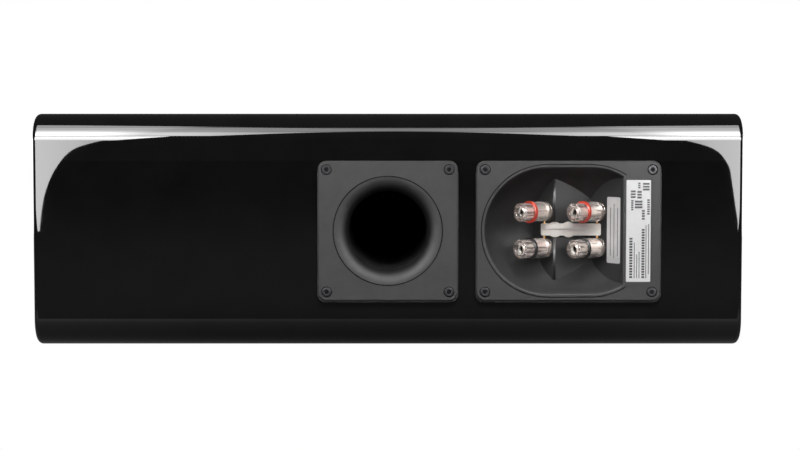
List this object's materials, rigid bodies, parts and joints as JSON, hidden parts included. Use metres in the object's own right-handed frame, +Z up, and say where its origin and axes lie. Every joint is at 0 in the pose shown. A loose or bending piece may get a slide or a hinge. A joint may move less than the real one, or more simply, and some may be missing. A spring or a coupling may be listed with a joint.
{
  "type": "center channel speaker",
  "caption": "Wide closed-back speaker cabinet in gloss black with a rear reflex port, a slanted terminal dish with clear binding posts, woofers and a ribbon tweeter.",
  "frame": {"origin": "centre of the flat underside the cabinet rests on", "axes": "+X along the width, the front faces -Y and the rear with the terminals faces +Y, +Z up"},
  "size_m": [0.56, 0.2944, 0.184],
  "materials": {
    "gloss_lacquer": "high-gloss black lacquer on fibreboard",
    "raw_board": "raw fibreboard",
    "wadding": "loose polyester wadding",
    "textured_plastic": "fine moulded texture",
    "tube_plastic": "matt",
    "gasket_foam": "matt closed-cell foam",
    "black_screw": "black oxide",
    "clear_plastic": "clear polycarbonate",
    "red_plastic": "gloss red",
    "black_plastic": "gloss black",
    "nickel": "polished nickel plate",
    "gold": "gold plate",
    "milky_plastic": "translucent milky white",
    "basket_metal": "black powder coat",
    "cone_metal": "anodised dark grey",
    "surround_rubber": "matt",
    "spider_cloth": "resin-stiffened cloth",
    "copper_coil": "enamelled wire on a former",
    "steel": "zinc plated",
    "ferrite": "matt ferrite",
    "faceplate_metal": "black brushed anodised",
    "foil": "folded foil",
    "circuit_board": "green board",
    "capacitor_film": "blue film sleeve",
    "resistor_ceramic": "matt white"
  },
  "bodies": {
    "cabinet": {"cabinet_shell": "gloss_lacquer", "front_baffle": "gloss_lacquer", "brace_left": "raw_board", "brace_right": "raw_board", "damping_wadding": "wadding", "port_plate": "textured_plastic", "port_tube": "tube_plastic", "port_gasket": "gasket_foam", "port_screws": "black_screw", "terminal_plate": "textured_plastic", "terminal_gasket": "gasket_foam", "terminal_screws": "black_screw", "post_studs": "nickel", "post_bases": "clear_plastic", "post_rear_insulators": "black_plastic", "post_nuts": "nickel", "jumper_holder": "milky_plastic", "jumper_wire_plus": "gold", "jumper_wire_minus": "gold", "woofer_magnets": "ferrite", "woofer_top_plates": "steel", "woofer_yokes": "steel", "woofer_screws": "black_screw", "tweeter_faceplate": "faceplate_metal", "tweeter_diaphragm": "foil", "tweeter_motor": "tube_plastic", "tweeter_screws": "black_screw", "crossover_board": "circuit_board", "crossover_coils": "copper_coil", "crossover_capacitors": "capacitor_film", "crossover_resistors": "resistor_ceramic", "woofer_left_basket": "basket_metal", "woofer_left_surround": "surround_rubber", "woofer_left_spider": "spider_cloth", "woofer_right_basket": "basket_metal", "woofer_right_surround": "surround_rubber", "woofer_right_spider": "spider_cloth"},
    "washer_hf_plus": {"clamp_washer_hf_plus": "gold"},
    "knob_hf_plus": {"knob_shell_hf_plus": "clear_plastic", "knob_ring_hf_plus": "red_plastic", "knob_core_hf_plus": "nickel"},
    "washer_hf_minus": {"clamp_washer_hf_minus": "gold"},
    "knob_hf_minus": {"knob_shell_hf_minus": "clear_plastic", "knob_ring_hf_minus": "black_plastic", "knob_core_hf_minus": "nickel"},
    "washer_lf_plus": {"clamp_washer_lf_plus": "gold"},
    "knob_lf_plus": {"knob_shell_lf_plus": "clear_plastic", "knob_ring_lf_plus": "red_plastic", "knob_core_lf_plus": "nickel"},
    "washer_lf_minus": {"clamp_washer_lf_minus": "gold"},
    "knob_lf_minus": {"knob_shell_lf_minus": "clear_plastic", "knob_ring_lf_minus": "black_plastic", "knob_core_lf_minus": "nickel"},
    "cone_left": {"woofer_left_cone": "cone_metal", "woofer_left_dust_cap": "cone_metal", "woofer_left_voice_coil": "copper_coil"},
    "cone_right": {"woofer_right_cone": "cone_metal", "woofer_right_dust_cap": "cone_metal", "woofer_right_voice_coil": "copper_coil"}
  },
  "joints": [
    {"name": "hf_plus_clamp_slide", "type": "slide", "parent": "cabinet", "child": "washer_hf_plus", "axis": [0.766, 0.6428, 0], "range_m": [0, 0.005]},
    {"name": "hf_plus_knob_turn", "type": "hinge", "parent": "washer_hf_plus", "child": "knob_hf_plus", "pos_m": [-0.12725, 0.12517, 0.1065], "axis": [0.766, 0.6428, 0], "range_deg": [0, 1440]},
    {"name": "hf_minus_clamp_slide", "type": "slide", "parent": "cabinet", "child": "washer_hf_minus", "axis": [0.766, 0.6428, 0], "range_m": [0, 0.005]},
    {"name": "hf_minus_knob_turn", "type": "hinge", "parent": "washer_hf_minus", "child": "knob_hf_minus", "pos_m": [-0.12725, 0.12517, 0.0775], "axis": [0.766, 0.6428, 0], "range_deg": [0, 1440]},
    {"name": "lf_plus_clamp_slide", "type": "slide", "parent": "cabinet", "child": "washer_lf_plus", "axis": [0.766, 0.6428, 0], "range_m": [0, 0.005]},
    {"name": "lf_plus_knob_turn", "type": "hinge", "parent": "washer_lf_plus", "child": "knob_lf_plus", "pos_m": [-0.16925, 0.12517, 0.1065], "axis": [0.766, 0.6428, 0], "range_deg": [0, 1440]},
    {"name": "lf_minus_clamp_slide", "type": "slide", "parent": "cabinet", "child": "washer_lf_minus", "axis": [0.766, 0.6428, 0], "range_m": [0, 0.005]},
    {"name": "lf_minus_knob_turn", "type": "hinge", "parent": "washer_lf_minus", "child": "knob_lf_minus", "pos_m": [-0.16925, 0.12517, 0.0775], "axis": [0.766, 0.6428, 0], "range_deg": [0, 1440]},
    {"name": "woofer_left_stroke", "type": "slide", "parent": "cabinet", "child": "cone_left", "axis": [0, -1, 0], "range_m": [-0.004, 0.004], "stiffness_N_per_m": 1200, "deforming": ["woofer_left_surround", "woofer_left_spider"]},
    {"name": "woofer_right_stroke", "type": "slide", "parent": "cabinet", "child": "cone_right", "axis": [0, -1, 0], "range_m": [-0.004, 0.004], "stiffness_N_per_m": 1200, "deforming": ["woofer_right_surround", "woofer_right_spider"]}
  ],
  "couplings": [
    {"joint": "hf_plus_clamp_slide", "follows": "hf_plus_knob_turn", "m_per_rad": 0.00019892},
    {"joint": "hf_minus_clamp_slide", "follows": "hf_minus_knob_turn", "m_per_rad": 0.00019892},
    {"joint": "lf_plus_clamp_slide", "follows": "lf_plus_knob_turn", "m_per_rad": 0.00019892},
    {"joint": "lf_minus_clamp_slide", "follows": "lf_minus_knob_turn", "m_per_rad": 0.00019892}
  ]
}
